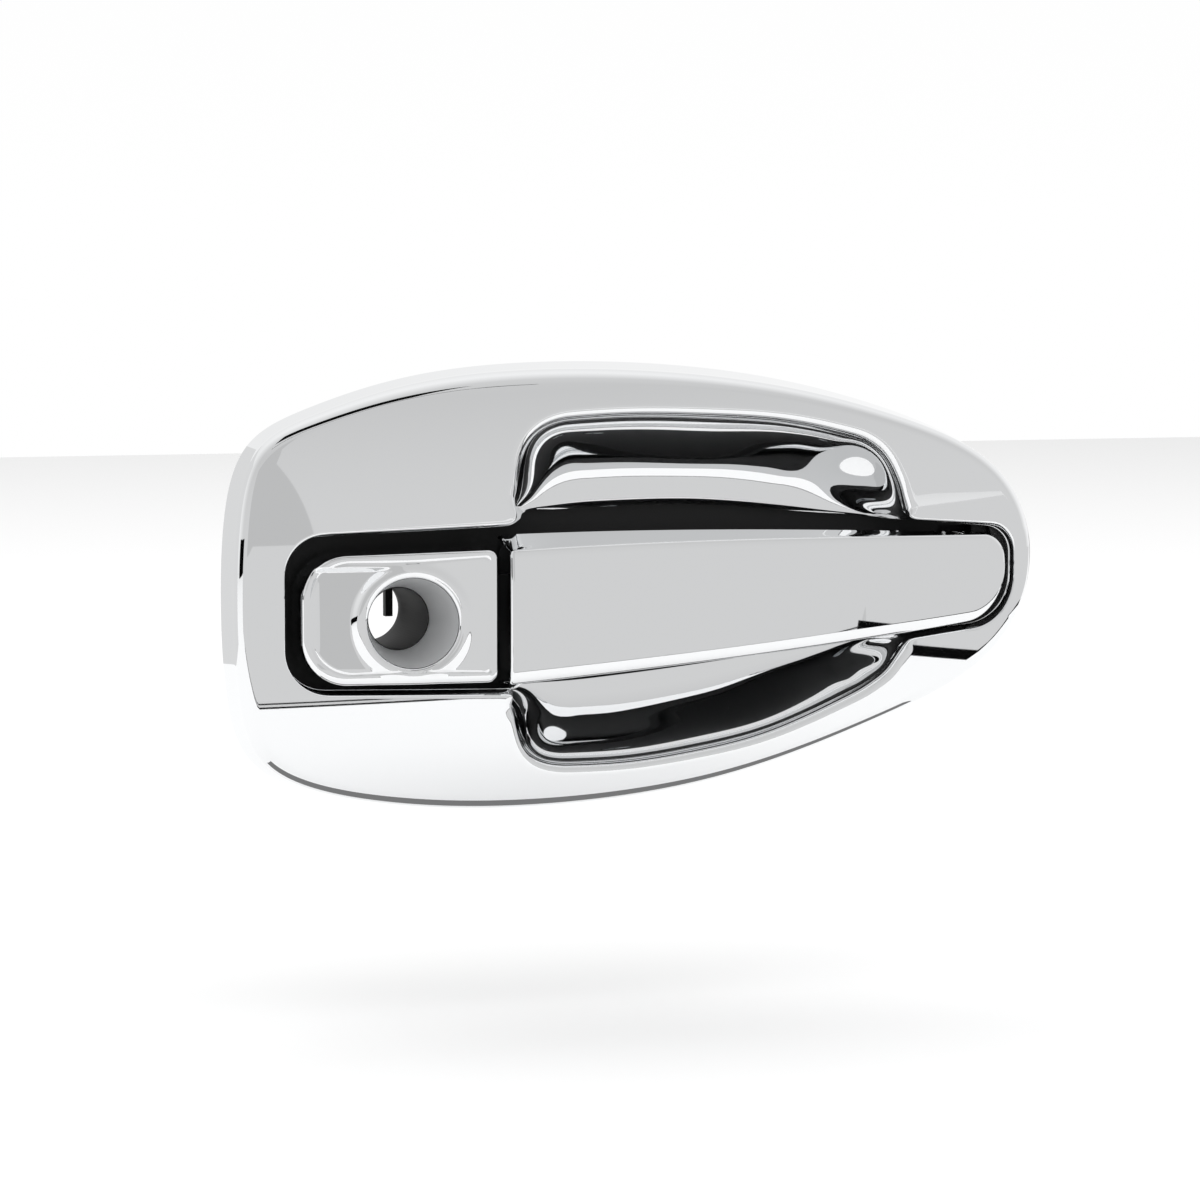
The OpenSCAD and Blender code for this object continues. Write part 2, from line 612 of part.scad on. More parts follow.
function to_xyz(x, section) = [for (i = [len(section) - 1:-1:0]) [x, -section[i][1], section[i][0]]];
lever_stations = concat(
    [for (d = [0, 0.15, 0.5, 1.2]) lever_x0 + d],
    [for (k = [1:15]) mix(lever_x0 + 1.2, lever_x1 - tip_low_r, k / 15)],
    [for (d = [11, 8, 5.5, 3.5, 2, 1, 0.4, 0.1]) lever_x1 - d]
);
lever_hollow = [for (k = [0:14]) mix(lever_x0 + lever_wall, lever_x1 - 6, k / 14)];
function hollow_section(x) = let (h = strap(x) - lever_camber - low_bevel_drop / 2 - lever_wall)
    [[lever_low(x) + lever_wall + 0.4, -5], [lever_low(x) + lever_wall + 0.4, h],
     [lever_top(x) - lever_wall, h], [lever_top(x) - lever_wall, -5]];
module lever_shell() {
    color("gainsboro") difference() {
        section_skin([for (x = lever_stations) to_xyz(x, lever_section(x))]);
        section_skin([for (x = lever_hollow) to_xyz(x, hollow_section(x))]);
    }
}

// Core: fills the shell from behind, and carries the pull leg and the hinge knuckle
core_x0 = lever_x0 + lever_wall + seat_gap;
core_x1 = lever_x1 - 6 - seat_gap;
core_stations = [for (k = [0:16]) mix(core_x0, core_x1, k / 16)];
function core_front(x) = strap(x) - lever_camber - low_bevel_drop / 2 - lever_wall - seat_gap;
function core_back(x) = strap(x) - side_depth(x) - 0.4;
hook_t = 4.5;
hook_below = 1.5;        // how far the hook reaches below the middle of the crank's pin
pad_t = 1.5;
hook_lost = 0.3;         // free play before the hook meets the crank
hook_angle = asin((crank_tip.x + tip_pin_r + hook_lost + pad_t) / (leg_r - leg_w / 2));
hook_end_angle = hook_angle + hook_t / leg_r * 180 / PI;
arm_w = 8;
arm_out = core_front(hinge_x + arm_w / 2) - seat_gap;
module lever_core() {
    color([0.13, 0.13, 0.14]) difference() {
        union() {
            intersection() {
                translate([0, 0, -60]) linear_extrude(120) polygon(concat(
                    [for (x = core_stations) [x, -core_front(x)]],
                    [for (k = [16:-1:0]) let (x = core_stations[k]) [x, -core_back(x)]]));
                slab(-5, 50) polygon(concat(
                    [for (x = core_stations) [x, lever_low(x) + lever_wall + 0.4 + seat_gap]],
                    [for (k = [16:-1:0]) let (x = core_stations[k])
                        [x, lever_top(x) - lever_wall - seat_gap]]));
            }
            // pull leg and its hook
            leg_arc(leg_r - leg_w / 2, leg_r + leg_w / 2, -leg_root_angle, hook_end_angle,
                leg_low, leg_low + leg_h);
            leg_arc(leg_r - leg_w / 2, leg_r + leg_w / 2, hook_angle, hook_end_angle,
                crank_tip.y - hook_below, leg_low + 1);
            // hinge knuckle and the arm that carries it
            rod_z(hinge_x, 0, knuckle_r, hinge_z - knuckle_h / 2, hinge_z + knuckle_h / 2);
            translate([hinge_x - arm_w / 2, -arm_out, hinge_z - knuckle_h / 2])
                cube([arm_w, arm_out, knuckle_h]);
        }
        rod_z(hinge_x, 0, bush_r, hinge_z - 40, hinge_z + 40);
        for (p = lever_screw_places) {
            rod_out(p, lever_mid(p), screw_r + thread_gap, 0, 60);
            rod_out(p, lever_mid(p), head_r + 0.2, 0, core_back(p) + head_t + 0.4);
        }
    }
}
leg_root_angle = asin((core_back(leg_x) + 2) / leg_r);
bush_r = hinge_pin_r + 1;
lever_screw_places = [lever_x0 + 0.3 * lever_len, lever_x0 + 0.7 * lever_len];
function lever_mid(x) = (lever_top(x) + lever_low(x)) / 2;
module lever_screws() {
    color("dimgray") for (p = lever_screw_places)
        screw_out([p, lever_mid(p)], core_back(p) + head_t + 0.4, core_front(p) - 0.2);
}
// Two flanged bushes, pushed into the knuckle from its two ends
bush_flange_t = 0.3;
module hinge_bushes() {
    color("ivory") for (side = [0, 1]) translate([hinge_x, 0, hinge_z]) mirror([0, 0, side]) difference() {
        union() {
            rod_z(0, 0, bush_r - 0.01, 0.1, knuckle_h / 2 + 0.1);
            rod_z(0, 0, bush_r + 1, knuckle_h / 2 + 0.02, knuckle_h / 2 + 0.02 + bush_flange_t);
        }
        rod_z(0, 0, hinge_pin_r + running_gap, -1, knuckle_h);
    }
}
pin_low = hinge_z - knuckle_h / 2 - free_gap - ear_t - 2.6;
pin_high = hinge_z + knuckle_h / 2 + free_gap + ear_t;
module hinge_pin() {
    color("lightsteelblue") difference() {
        union() {
            rod_z(hinge_x, 0, hinge_pin_r - 0.01, pin_low, pin_high + 0.1);
            rod_z(hinge_x, 0, hinge_pin_r + 1.5, pin_high + 0.02, pin_high + 1.5);
        }
        groove_z(hinge_x, 0, hinge_pin_r, pin_low + 0.8, 0.8);
    }
}
module groove_z(x, y, r, z, w) difference() {
    rod_z(x, y, r + 1, z, z + w);
    rod_z(x, y, r - 0.6, z - 1, z + w + 1);
}
// Open spring clip that snaps into a groove: a ring with a gap
module e_clip(r, t) difference() {
    cylinder(r = r + 1.8, h = t);
    translate([0, 0, -1]) cylinder(r = r - 0.55, h = t + 2);
    translate([0, -r * 0.7, -1]) cube([r + 4, r * 1.4, t + 2]);
}
module hinge_pin_clip() color("gray") translate([hinge_x, 0, pin_low + 0.9]) e_clip(hinge_pin_r, 0.6);

module hook_pad() {
    color("ivory") leg_arc(leg_r - leg_w / 2, leg_r + leg_w / 2,
        hook_angle - (pad_t - 0.02) / leg_r * 180 / PI, hook_angle - 0.01,
        crank_tip.y - hook_below, leg_low - 0.05);
}

// Rubber lips round the pull leg, behind the pan
module leg_seal() {
    color([0.08, 0.08, 0.08]) difference() {
        leg_arc(leg_r - leg_w / 2 - 4, leg_r + leg_w / 2 + 4, seal_from, seal_to,
            leg_low - 4, leg_low + leg_h + 4);
        leg_arc(leg_r - leg_w / 2 - 0.3, leg_r + leg_w / 2 + 0.3, seal_from - 1, seal_to + 1,
            leg_low - 0.3, leg_low + leg_h + 0.3);
    }
}
seal_from = asin((-pan_in + 0.8) / leg_r);
seal_to = seal_from + 0.9;

// ---- crank ----
crank_bush_r = crank_pin_r + 1.2;
hub_r = 7;
neck_t = 2.2;            // half the thickness of the input arm's neck
out_lean = -25;          // the output arm's angle below level, at rest
rod_eye = [crank_in + output_arm * cos(out_lean), crank_z + output_arm * sin(out_lean)];
clip_pin_r = 2.4;
module arm_x(length, t, lean, from, to)
    translate([from, crank_in, crank_z]) rotate([lean, 0, 0])
        translate([0, 0, -t]) cube([to - from, length, 2 * t]);
module bell_crank() {
    color("slategray") difference() {
        union() {
            rod_x(crank_in, crank_z, hub_r, crank_x - hub_w / 2, crank_x + hub_w / 2);
            arm_x(crank_arm, neck_t, 90 - crank_lean, crank_x - 3, crank_x + 3);
            rod_x(crank_tip.x, crank_tip.y, tip_pin_r, crank_x - hub_w / 2, crank_x + hub_w / 2);
            arm_x(output_arm, 3, out_lean, crank_x - 3, crank_x + 3);
            rod_x(rod_eye.x, rod_eye.y, 5.5, crank_x - 3, crank_x + 3);
        }
        rod_x(crank_in, crank_z, crank_bush_r, crank_x - 40, crank_x + 40);
        rod_x(rod_eye.x, rod_eye.y, clip_pin_r + running_gap, crank_x - 40, crank_x + 40);
    }
}
module crank_bushes() {
    color("ivory") difference() {
        rod_x(crank_in, crank_z, crank_bush_r - 0.01, crank_x - hub_w / 2 + 0.1, crank_x + hub_w / 2 - 0.1);
        rod_x(crank_in, crank_z, crank_pin_r + running_gap, crank_x - 40, crank_x + 40);
    }
}
module crank_pin() {
    color("lightsteelblue") difference() {
        union() {
            rod_x(crank_in, crank_z, crank_pin_r - 0.01, ear_low_x - ear_w - 0.1, ear_high_x + ear_w + 3);
            rod_x(crank_in, crank_z, crank_pin_r + 1.5, ear_low_x - ear_w - 1.6, ear_low_x - ear_w - 0.02);
        }
        translate([ear_high_x + ear_w + 1, crank_in, crank_z]) rotate([0, 90, 0])
            groove_z(0, 0, crank_pin_r, 0, 0.8);
    }
}
module crank_pin_clip() color("gray")
    translate([ear_high_x + ear_w + 1.1, crank_in, crank_z]) rotate([0, 90, 0]) e_clip(crank_pin_r, 0.6);

// Torsion spring round the crank pin, one end on the base and one under the output arm
spring_wire = 0.8;       // radius of the wire
spring_mid_r = crank_pin_r + 2.6;
spring_turns = 4.25;
spring_x0 = crank_x + hub_w / 2 + 1.2;
spring_pitch = (spring_w - 1.8) / (spring_turns + 0.3);
spring_sides = 6;
spring_steps = 14;
spring_path = concat(
    [[spring_x0, crank_in - spring_mid_r, crank_z - 12]],
    [for (k = [0:ceil(spring_turns * spring_steps)])
        let (a = 180 + min(k / spring_steps, spring_turns) * 360)
        [spring_x0 + spring_pitch * min(k / spring_steps, spring_turns),
            crank_in + spring_mid_r * cos(a), crank_z - spring_mid_r * sin(a)]]
);
module return_spring() {
    color("darkgray") section_skin([for (i = [0:len(spring_path) - 1])
        let (
            p = spring_path[i],
            before = spring_path[max(i - 1, 0)], after = spring_path[min(i + 1, len(spring_path) - 1)],
            d = unit(after - before), u = unit(cross(d, [1, 0, 0])), v = cross(d, u)
        )
        [for (s = [spring_sides - 1:-1:0])
            p + spring_wire * (u * cos(360 * s / spring_sides) + v * sin(360 * s / spring_sides))]]);
}

// Plastic clip that takes the latch rod, swivelling in the output arm's eye
clip_rod_r = 1.6;
module rod_clip() {
    color("yellowgreen") difference() {
        union() {
            rod_x(rod_eye.x, rod_eye.y, clip_pin_r, crank_x - 4.5, crank_x + 5);
            rod_x(rod_eye.x, rod_eye.y, clip_pin_r + 1.2, crank_x - 4.5, crank_x - 3.4);
            translate([crank_x + 3.4, rod_eye.x - 4, rod_eye.y - 8]) cube([7, 8, 12]);
        }
        rod_z(crank_x + 7, rod_eye.x, clip_rod_r, rod_eye.y - 20, rod_eye.y + 20);
        translate([crank_x + 7, rod_eye.x - 1.2, rod_eye.y - 20]) cube([10, 2.4, 40]);
    }
}

// ---- lock plate and its carrier ----
square_r = 2.6;          // the two corners beside the lever
plate_corners = [
    [-plate_left, plate_up - 0.7, plate_corner], [-plate_left, -plate_down - 0.2, plate_corner],
    [plate_right, -plate_down + 0.2, square_r], [plate_right, plate_up + 0.9, square_r]
];
plate_outline = rounded(plate_corners, 4, 15);
function ring_lift(p) = 0.7 * exp(-pow((norm(p) - mouth_r - 2) / 1.8, 2));
function dish(p) = dish_depth * mix(1, 1.5, smooth(p.y / 12)) * smooth((norm(p) - mouth_r - 3) / 2.4)
    * smooth((plate_up - 3.6 - p.y) / 1.2) * smooth((p.x + plate_left - 1.5) / 3)
    * smooth((p.y + plate_down - 4) / 8) * smooth((-p.x - 6) / 5);
function plate_face(p) = strap(p.x) - plate_set_back + ring_lift(p) - dish(p);
mouth_in = 8;            // foot of the plate's cone, out from the door skin
mouth_foot_r = lock_bore_r + 0.3;
plate_back_out = 6.5;    // lower edge of the plate's sides
// Columns: [outline point, normal, direction from the lock axis]
plate_columns = [for (o = plate_outline) [o[0], o[1], unit(o[0])]];
function plate_edge_in(c) = mix(top_edge_r, low_bevel, max(0, -c[1].y));
function plate_ring(c, t) = let (p = mix(c[2] * (mouth_r + 1.2), c[0] - c[1] * plate_edge_in(c), t))
    [p.x, p.y, plate_face(p)];
function plate_under(c, t) = let (p = mix(c[2] * (mouth_r + lever_wall), c[0] - c[1] * lever_wall, t))
    [p.x, p.y, strap(p.x) - plate_set_back - dish_depth - lever_wall];
plate_rings = concat(
    [[for (c = plate_columns) let (p = c[2] * mouth_foot_r) [p.x, p.y, mouth_in]]],
    [for (f = [0, 45, 90]) [for (c = plate_columns)
        let (p = c[2] * (mouth_r + 1.2 * (1 - cos(f))), q = c[2] * (mouth_r + 1.2))
        [p.x, p.y, plate_face(q) - 1.2 * (1 - sin(f))]]],
    [for (t = [0.12, 0.25, 0.4, 0.55, 0.7, 0.85, 1]) [for (c = plate_columns) plate_ring(c, t)]],
    [for (f = [45, 90]) [for (c = plate_columns)
        let (e = plate_edge_in(c), p = c[0] - c[1] * e * (1 - sin(f)), q = c[0] - c[1] * e)
        [p.x, p.y, plate_face(q) - min(e, low_bevel_drop) * (1 - cos(f))]]],
    [[for (c = plate_columns) [c[0].x, c[0].y, plate_back_out]]],
    [[for (c = plate_columns) let (p = c[0] - c[1] * lever_wall) [p.x, p.y, plate_back_out]]],
    [for (t = [1, 0.5, 0]) [for (c = plate_columns) plate_under(c, t)]],
    [[for (c = plate_columns) let (p = c[2] * (mouth_foot_r + 1.6)) [p.x, p.y, mouth_in]]]
);
module lock_plate() color("gainsboro") ring_skin([for (i = [len(plate_rings) - 1:-1:0]) plate_rings[i]]);

carrier_in = lever_wall + seat_gap;
carrier_out = 15.5;
foot_reach = 8;          // foot under the lever's free end, which holds the bumper
foot_out = plate_back_out - seat_gap;
tab_x = 4.6;             // key tab in the tube, from the lock axis
tab_w = 2.2;
tab_t = 3;
tab_relief = 0.3;        // the bore is this much wider round the tab
tab_low = -2.2;
module lock_carrier() {
    color([0.12, 0.12, 0.13]) difference() {
        union() {
            slab(pan_out + 0.02, carrier_out) polygon([for (c = plate_columns) c[0] - c[1] * carrier_in]);
            rod_out(0, 0, tube_r, -tube_in, carrier_out);
            translate([plate_right - 4, -foot_out, -8]) cube([4 + foot_reach, foot_out - pan_out - 0.02, 20]);
        }
        rod_out(0, 0, mouth_r + lever_wall + free_gap, mouth_in - seat_gap, 60);
        rod_out(0, 0, lock_bore_r, -60, 60);
        rod_out(0, 0, lock_bore_r + tab_relief, -60, -tube_in + tab_t + 0.5);
        for (p = carrier_screw_places) rod_out(p.x, p.y, screw_r + thread_gap, -5, pan_out + 11);
    }
    // tab inside the tube's far end that keys the lock barrel
    color([0.12, 0.12, 0.13]) intersection() {
        translate([tab_x, tube_in - tab_t, tab_low]) cube([tab_w, tab_t, 2 * lock_bore_r]);
        rod_out(0, 0, lock_bore_r + tab_relief + 0.5, -tube_in + seat_gap, 0);
    }
}
module lever_bumper() {
    color([0.07, 0.07, 0.07])
        translate([lever_x0 + 1, -core_back(lever_x0 + 4) + 0.3, -5])
            cube([foot_reach - lever_gap - 1.5, core_back(lever_x0 + 4) - 0.3 - foot_out - 0.02, 14]);
}

surround();
base_housing();
perimeter_gasket();
mounting_inserts();
surround_screws();
lock_carrier();
lock_plate();
carrier_screws();
lever_bumper();
leg_seal();
hinge_pin();
hinge_pin_clip();
crank_pin();
crank_pin_clip();
return_spring();
lever_shell();
lever_core();
lever_screws();
hinge_bushes();
hook_pad();
bell_crank();
crank_bushes();
rod_clip();
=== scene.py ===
# Chromed pull handle for a vehicle door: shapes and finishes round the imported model
import json

import bpy
import numpy as np
from mathutils import Matrix, Vector


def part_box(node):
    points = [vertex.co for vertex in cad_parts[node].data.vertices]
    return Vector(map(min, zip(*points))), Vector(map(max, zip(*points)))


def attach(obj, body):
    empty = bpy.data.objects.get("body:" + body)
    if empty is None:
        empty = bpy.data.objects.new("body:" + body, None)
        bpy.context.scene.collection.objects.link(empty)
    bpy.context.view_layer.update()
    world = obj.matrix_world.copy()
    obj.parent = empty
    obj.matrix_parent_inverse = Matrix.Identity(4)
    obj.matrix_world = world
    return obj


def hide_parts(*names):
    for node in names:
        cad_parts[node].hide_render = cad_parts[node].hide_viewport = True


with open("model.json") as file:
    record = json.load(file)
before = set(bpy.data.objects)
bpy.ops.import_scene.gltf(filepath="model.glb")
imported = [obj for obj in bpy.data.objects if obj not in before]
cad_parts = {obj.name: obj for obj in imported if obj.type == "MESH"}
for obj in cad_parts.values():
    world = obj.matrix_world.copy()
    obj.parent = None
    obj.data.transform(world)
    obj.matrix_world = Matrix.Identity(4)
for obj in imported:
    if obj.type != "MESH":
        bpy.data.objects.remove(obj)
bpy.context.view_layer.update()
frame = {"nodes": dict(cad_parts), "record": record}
mm = 0.001

# ---------- curves and sheets ----------


def mix(a, b, t):
    return a + (b - a) * t


def smoothStep(t):
    # 3t^2 - 2t^3 with t held between 0 and 1
    u = np.clip(t, 0, 1)
    return u * u * (3 - 2 * u)


def splineLoop(control, perSpan):
    # Closed uniform cubic B-spline: each span blends four control points by the cubic basis
    c = np.array(control, float)
    t = np.arange(perSpan)[None, :, None] / perSpan
    p, q, r, s = (np.roll(c, k, axis=0)[:, None, :] for k in (1, 0, -1, -2))
    spans = ((1 - t) ** 3 * p + (3 * t**3 - 6 * t**2 + 4) * q + (3 * t + 3 * t**2 - 3 * t**3 + 1) * r + t**3 * s) / 6
    return spans.reshape(-1, 2)


def evenLoop(points, count):
    # A closed loop walked at even steps of its own length
    closed = np.vstack([points, points[:1]])
    length = np.concatenate([[0], np.cumsum(np.linalg.norm(np.diff(closed, axis=0), axis=1))])
    at = np.arange(count) / count * length[-1]
    return np.stack([np.interp(at, length, closed[:, k]) for k in range(2)], axis=1)


def cornerLoop(corners):
    # Polygon walked anticlockwise, each corner replaced by an arc tangent to its two sides
    points = []
    n = len(corners)
    for i, (x, z, radius) in enumerate(corners):
        before, p, after = (np.array(corners[k % n][:2], float) for k in (i - 1, i, i + 1))
        lenIn, lenOut = np.linalg.norm(p - before), np.linalg.norm(after - p)
        dirIn, dirOut = (p - before) / lenIn, (after - p) / lenOut
        turn = np.arctan2(dirIn[0] * dirOut[1] - dirIn[1] * dirOut[0], dirIn @ dirOut)
        cut = min(radius * np.tan(abs(turn) / 2), 0.48 * min(lenIn, lenOut))
        r = cut / np.tan(abs(turn) / 2)
        side = np.sign(turn)
        centre = p - dirIn * cut + side * r * np.array([-dirIn[1], dirIn[0]])
        spoke = p - dirIn * cut - centre
        a = np.linspace(0, turn, max(4, int(abs(turn) * r / 0.25)))[:, None]
        points.append(centre + spoke * np.cos(a) + np.array([-spoke[1], spoke[0]]) * np.sin(a))
    return np.vstack(points)


def softened(loop, spread):
    # Closed loop blurred along its length by a bell curve, so that arcs run into straights
    step = np.linalg.norm(np.roll(loop, -1, axis=0) - loop, axis=1).mean()
    wave = np.fft.fftfreq(len(loop), d=step)
    bell = np.exp(-2 * (np.pi * wave * spread) ** 2)[:, None]
    return np.real(np.fft.ifft(np.fft.fft(loop, axis=0) * bell, axis=0))


def outward(loop):
    # Unit normals of an anticlockwise loop: its tangent turned a quarter to the right
    along = np.roll(loop, -1, axis=0) - np.roll(loop, 1, axis=0)
    along /= np.linalg.norm(along, axis=1, keepdims=True)
    return np.stack([along[:, 1], -along[:, 0]], axis=1)


def rayHit(loop, start, aim):
    # Furthest crossing of each ray with a closed loop, and the loop's normal there
    end = np.roll(loop, -1, axis=0)
    a, e = (loop - start)[None], (end - loop)[None]
    d = aim[:, None, :]
    den = d[..., 0] * e[..., 1] - d[..., 1] * e[..., 0]
    den = np.where(np.abs(den) < 1e-12, 1e-12, den)
    reach = (a[..., 0] * e[..., 1] - a[..., 1] * e[..., 0]) / den
    share = (a[..., 0] * d[..., 1] - a[..., 1] * d[..., 0]) / den
    reach = np.where((reach > 0) & (share >= 0) & (share <= 1), reach, -1)
    best = reach.argmax(axis=1)
    rows = np.arange(len(aim))
    normal = outward(loop)
    w = share[rows, best][:, None]
    n = normal[best] * (1 - w) + normal[(best + 1) % len(loop)] * w
    n *= np.sign((n * aim).sum(axis=1, keepdims=True))
    return start + aim * reach[rows, best][:, None], n / np.linalg.norm(n, axis=1, keepdims=True)


def crownTerms(ul, dl, ur, dr):
    # c2 and c3 of the drop c2 u^2 + c3 u^3 that is dl at ul and dr at ur
    c3 = (dr / ur**2 - dl / ul**2) / (ur - ul)
    return dl / ul**2 - c3 * ul, c3


def crownDrop(terms, u):
    return terms[0] * u**2 + terms[1] * u**3


def meshPiece(name, verts, faces, body, sharpAngle):
    # A chromed piece; verts in millimetres as [x, y, z]; faces point outwards
    mesh = bpy.data.meshes.new(name)
    mesh.from_pydata(np.asarray(verts) * mm, [], faces)
    mesh.validate()
    mesh.polygons.foreach_set("use_smooth", np.full(len(mesh.polygons), True))
    mesh.set_sharp_from_angle(angle=np.radians(sharpAngle))
    obj = bpy.data.objects.new(name, mesh)
    bpy.context.scene.collection.objects.link(obj)
    mesh.materials.append(chrome)
    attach(obj, body)
    return obj


def gridFaces(rows, cols, closeRows, closeCols):
    # Quads of a rows x cols grid of points, joined round either way if asked
    i, j = np.meshgrid(np.arange(rows if closeRows else rows - 1),
                       np.arange(cols if closeCols else cols - 1), indexing="ij")
    i2, j2 = (i + 1) % rows, (j + 1) % cols
    return np.stack([i * cols + j, i * cols + j2, i2 * cols + j2, i2 * cols + j], axis=-1).reshape(-1, 4)


def at(p, out):
    # A ring of (x, z) points raised to a height, one for all or one each
    return np.concatenate([p, np.broadcast_to(out, p.shape[:1])[:, None]], axis=1)


def ringSkin(rings):
    # rings: [ring, point, (x, z, out)] to points [x, y, z] of a skin closed both ways
    r = np.asarray(rings)
    return np.stack([r[..., 0], -r[..., 2], r[..., 1]], axis=-1).reshape(-1, 3)


def arc(stop, steps, start=0):
    return np.radians(np.linspace(start, stop, steps))


# ---------- finishes ----------


def srgb(hexValue):
    # "#RRGGBB" to the linear colour that shaders take
    parts = np.array([int(hexValue[k:k + 2], 16) for k in (1, 3, 5)]) / 255
    linear = np.where(parts <= 0.04045, parts / 12.92, ((parts + 0.055) / 1.055) ** 2.4)
    return (*linear, 1)


def newMaterial(name):
    material = bpy.data.materials.new(name)
    material.use_nodes = True
    return material, material.node_tree.nodes["Principled BSDF"]


def addNode(material, kind, settings=None, links=None):
    # Adds a node; settings are its properties or its sockets' values, links its inputs' sources
    node = material.node_tree.nodes.new(kind)
    for key, value in (settings or {}).items():
        if key in node.inputs:
            node.inputs[key].default_value = value
        else:
            setattr(node, key, value)
    for key, source in (links or {}).items():
        material.node_tree.links.new(source, node.inputs[key])
    return node


def setSockets(shader, values):
    for key, value in values.items():
        shader.inputs[key].default_value = value


def bump(material, shader, height, distance, strength):
    node = addNode(material, "ShaderNodeBump", {"Distance": distance, "Strength": strength}, {"Height": height})
    material.node_tree.links.new(node.outputs["Normal"], shader.inputs["Normal"])


chromeLook = {"colour": "#F1F2F3", "roughness": 0.02, "mouthRoughness": 0.42, "mouthMetal": 0.6}


def chromePlate(name, roughness, metal=1.0):
    # Bright chrome over polished nickel is a plain mirror; over an unpolished wall it is satin
    material, shader = newMaterial(name)
    setSockets(shader, {"Base Color": srgb(chromeLook["colour"]), "Metallic": metal, "Roughness": roughness})
    return material


def mouldedNylon(name, colour, roughness, grainMm=0.6):
    # Glass-filled nylon from a spark-eroded mould: matte, with a fine even grain
    material, shader = newMaterial(name)
    setSockets(shader, {"Base Color": srgb(colour), "Roughness": roughness, "Specular IOR Level": 0.4})
    place = addNode(material, "ShaderNodeTexCoord")
    grain = addNode(material, "ShaderNodeTexNoise", {"Scale": 1 / (grainMm * mm), "Detail": 3.0},
                    {"Vector": place.outputs["Object"]})
    bump(material, shader, grain.outputs["Fac"], 0.05 * mm, 0.5)
    return material


def plainMaterial(name, values):
    material, shader = newMaterial(name)
    setSockets(shader, values)
    return material


chrome = chromePlate("bright chrome plating", chromeLook["roughness"])
mouthChrome = chromePlate("satin chrome plating", chromeLook["mouthRoughness"], chromeLook["mouthMetal"])
blackNylon = mouldedNylon("moulded black nylon", "#1C1C1D", 0.62)
rubber = plainMaterial("moulded black rubber", {"Base Color": srgb("#141414"), "Roughness": 0.8})
foam = mouldedNylon("closed-cell grey foam", "#3A3A3C", 0.95, 1.2)
brass = plainMaterial("turned brass", {"Base Color": srgb("#D9B36A"), "Metallic": 1.0, "Roughness": 0.3})
zincScrew = plainMaterial("zinc-plated steel", {"Base Color": srgb("#B9BDC0"), "Metallic": 1.0, "Roughness": 0.35})
groundSteel = plainMaterial("ground steel", {"Base Color": srgb("#C4C4C4"), "Metallic": 1.0, "Roughness": 0.22})
springSteel = plainMaterial("oiled spring wire", {"Base Color": srgb("#6E6E70"), "Metallic": 1.0, "Roughness": 0.38})
acetal = plainMaterial("natural acetal", {"Base Color": srgb("#ECE8DC"), "Roughness": 0.4})
castZinc = plainMaterial("die-cast zinc", {"Base Color": srgb("#9A9DA0"), "Metallic": 1.0, "Roughness": 0.45})
greenNylon = plainMaterial("moulded green nylon", {"Base Color": srgb("#3E8E4C"), "Roughness": 0.35})

slotMaterial = {
    "chrome_trim": chrome, "black_nylon": blackNylon, "black_rubber": rubber, "grey_foam": foam,
    "brass_insert": brass, "zinc_screw": zincScrew, "pin_steel": groundSteel, "spring_steel": springSteel,
    "acetal": acetal, "crank_zinc": castZinc, "clip_green": greenNylon,
}
for part in frame["record"]["subparts"]:
    node = frame["nodes"][part["node"]]
    node.data.materials.clear()
    node.data.materials.append(slotMaterial[part["material_slot"]])
    for polygon in node.data.polygons:
        polygon.use_smooth = False
print("finishes set")

# ---------- surround ----------

lowCorner, highCorner = (np.array(c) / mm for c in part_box("surround"))
endX, tipX = lowCorner[0], highCorner[0]
lowZ, highZ = lowCorner[2], highCorner[2]
surroundLen, surroundH = tipX - endX, highZ - lowZ
middleZ = (lowZ + highZ) / 2

surroundShape = {
    # control polygon on a sheet 250 long and 132 high, from the blunt end's lowest corner
    "outline": [[0, 63], [1, 92], [7, 111], [25, 119], [58, 130], [106, 133], [161, 129], [206, 117], [241, 102],
                [255, 73], [241, 38], [198, 21], [147, 3], [89, -2], [44, 1], [6, 11], [1, 37]],
    "crownFromEnd": 121, "crownOut": 23.5, "bluntIn": 5, "bluntOut": 14, "tipIn": 9, "tipOut": 9,
    "edgeDrop": 8, "ridgeBlunt": 4, "ridgeTip": 15,
    "shoulderRadius": 4, "flankDraft": 10, "wall": 2.2, "skirtGap": 0.5,
    "bandTop": 15.5, "bandBottom": 14.5, "bandTip": 45, "rimRadius": 3.2, "floorOut": 3.2,
    "lipDepth": 6, "lipRadius": 0.8, "slotToTip": 8.4,
    "bowlUp": [[0.945, 0.72, 16], [0.66, 0.95, 60], [0.32, 1.02, 60], [0, 0.97, 29]],
    "bowlDown": [[0, 1, 18], [0.29, 1, 80], [0.61, 0.8, 80], [0.925, 0.36, 16]],
    "scoopRise": 1.34, "scoopPower": 0.62, "scoopTurn": 16,
    "tuckFrom": 0.9, "tuckShare": 0.05,
    "columns": 960, "softening": 1.1, "cornerSoftening": 6, "longSoftening": 9,
}
plateShape = {
    "left": 31.5, "right": 24.3, "up": 20, "down": 17.8, "corner": 13, "square": 2.6, "gap": 3.2, "setBack": 1,
    "boreRadius": 9, "mouthRadius": 13, "mouthIn": 8, "mouthLip": 1.2, "mouthRings": 21, "columns": 480,
    "ringHeight": 0.7, "ringWidth": 1.8, "borderInset": 1.7, "borderDepth": 0.2, "borderWidth": 0.5,
    "dishDepth": 1.2, "backOut": 6.5,
}
